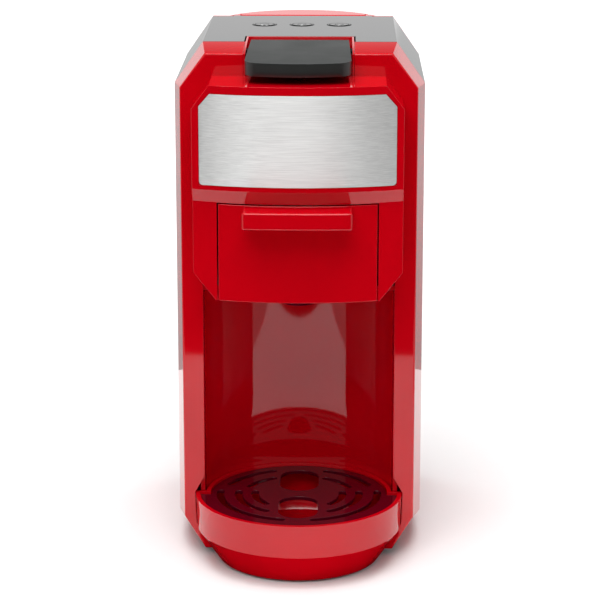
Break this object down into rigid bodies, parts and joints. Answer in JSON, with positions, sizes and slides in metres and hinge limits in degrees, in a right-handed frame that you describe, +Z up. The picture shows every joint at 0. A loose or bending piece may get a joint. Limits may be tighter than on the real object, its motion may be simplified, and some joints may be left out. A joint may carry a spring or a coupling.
{
  "type": "pod coffee machine",
  "caption": "Single-cup pod coffee machine with a bowed brew head, pod drawer, press lever, half-round cup bay, drip tray and rear water tank.",
  "frame": {"origin": "on the resting plane under the feet, below the middle of the machine's whole width and depth", "axes": "+X to the right of someone facing the machine, +Y to its back, +Z up"},
  "size_m": [0.135, 0.221, 0.2801],
  "materials": {
    "red_abs": "high gloss moulded",
    "maroon_gloss": "high gloss moulded",
    "black_gloss": "high gloss moulded",
    "black_satin": "satin moulded",
    "black_matte": "fine texture",
    "brushed_steel": "horizontal brushing",
    "bright_steel": "bright drawn",
    "screw_steel": "zinc plated",
    "spring_steel": "drawn wire",
    "cast_aluminium": "die cast",
    "rubber": "moulded",
    "silicone": "translucent moulded",
    "board": "solder mask",
    "white_nylon": "moulded",
    "clear_tank": "smoked clear moulded"
  },
  "bodies": {
    "housing": {"front_frame": "red_abs", "left_side_panel": "red_abs", "right_side_panel": "red_abs", "top_cover": "black_gloss", "rear_shell": "red_abs", "base_plate": "black_matte", "rubber_feet": "rubber", "base_screws": "screw_steel", "rear_screws": "screw_steel", "cup_bay_liner": "red_abs", "head_shell": "red_abs", "steel_fascia": "brushed_steel", "drawer_rails": "black_matte", "lever_well": "red_abs", "lever_pin": "screw_steel", "plunger_guide": "black_matte", "control_board": "board", "button_switches": "black_matte", "board_bracket": "black_matte", "water_tank": "clear_tank", "tank_strainer": "white_nylon", "tank_lid_pin": "screw_steel", "heater_block": "cast_aluminium", "heater_element": "bright_steel", "thermostat": "black_matte", "thermal_fuse": "white_nylon", "heater_feet": "white_nylon", "cold_hoses": "silicone", "check_valve": "white_nylon", "hot_hose": "silicone", "cord_gland": "black_matte", "terminal_block": "white_nylon", "wiring_loom": "black_matte"},
    "lever": {"press_lever": "black_satin"},
    "plunger": {"brew_plunger": "black_matte", "plunger_gasket": "silicone", "shower_screen": "bright_steel", "plunger_spring": "spring_steel"},
    "drawer": {"drawer_front": "red_abs", "drawer_handle": "red_abs", "drawer_carrier": "black_matte", "pod_holder": "black_matte", "pod_basket": "bright_steel", "outlet_spout": "maroon_gloss"},
    "tray": {"drip_tray": "red_abs"},
    "grille": {"drip_grille": "maroon_gloss"},
    "tank_lid": {"tank_lid": "red_abs"},
    "button_left": {"button_left": "black_gloss"},
    "button_middle": {"button_middle": "black_gloss"},
    "button_right": {"button_right": "black_gloss"}
  },
  "joints": [
    {"name": "lever_hinge", "type": "hinge", "parent": "housing", "child": "lever", "pos_m": [0, -0.012, 0.273], "axis": [-1, 0, 0], "range_deg": [0, 60]},
    {"name": "plunger_slide", "type": "slide", "parent": "housing", "child": "plunger", "axis": [0, 0, 1], "range_m": [0, 0.006], "deforming": ["plunger_spring"]},
    {"name": "drawer_slide", "type": "slide", "parent": "housing", "child": "drawer", "axis": [0, -1, 0], "range_m": [0, 0.07]},
    {"name": "tray_slide", "type": "slide", "parent": "housing", "child": "tray", "axis": [0, -1, 0], "range_m": [0, 0.11]},
    {"name": "grille_lift", "type": "slide", "parent": "tray", "child": "grille", "axis": [0, 0, 1], "range_m": [0, 0.04]},
    {"name": "tank_lid_hinge", "type": "hinge", "parent": "housing", "child": "tank_lid", "pos_m": [0, 0.0873, 0.2772], "axis": [1, 0, 0], "range_deg": [0, 100]},
    {"name": "left_button_press", "type": "slide", "parent": "housing", "child": "button_left", "axis": [0, 0, -1], "range_m": [0, 0.0008], "stiffness_N_per_m": 800, "springref_m": -0.0003},
    {"name": "middle_button_press", "type": "slide", "parent": "housing", "child": "button_middle", "axis": [0, 0, -1], "range_m": [0, 0.0008], "stiffness_N_per_m": 800, "springref_m": -0.0003},
    {"name": "right_button_press", "type": "slide", "parent": "housing", "child": "button_right", "axis": [0, 0, -1], "range_m": [0, 0.0008], "stiffness_N_per_m": 800, "springref_m": -0.0003}
  ],
  "couplings": [
    {"joint": "plunger_slide", "follows": "lever_hinge", "m_per_rad": 0.00573}
  ]
}
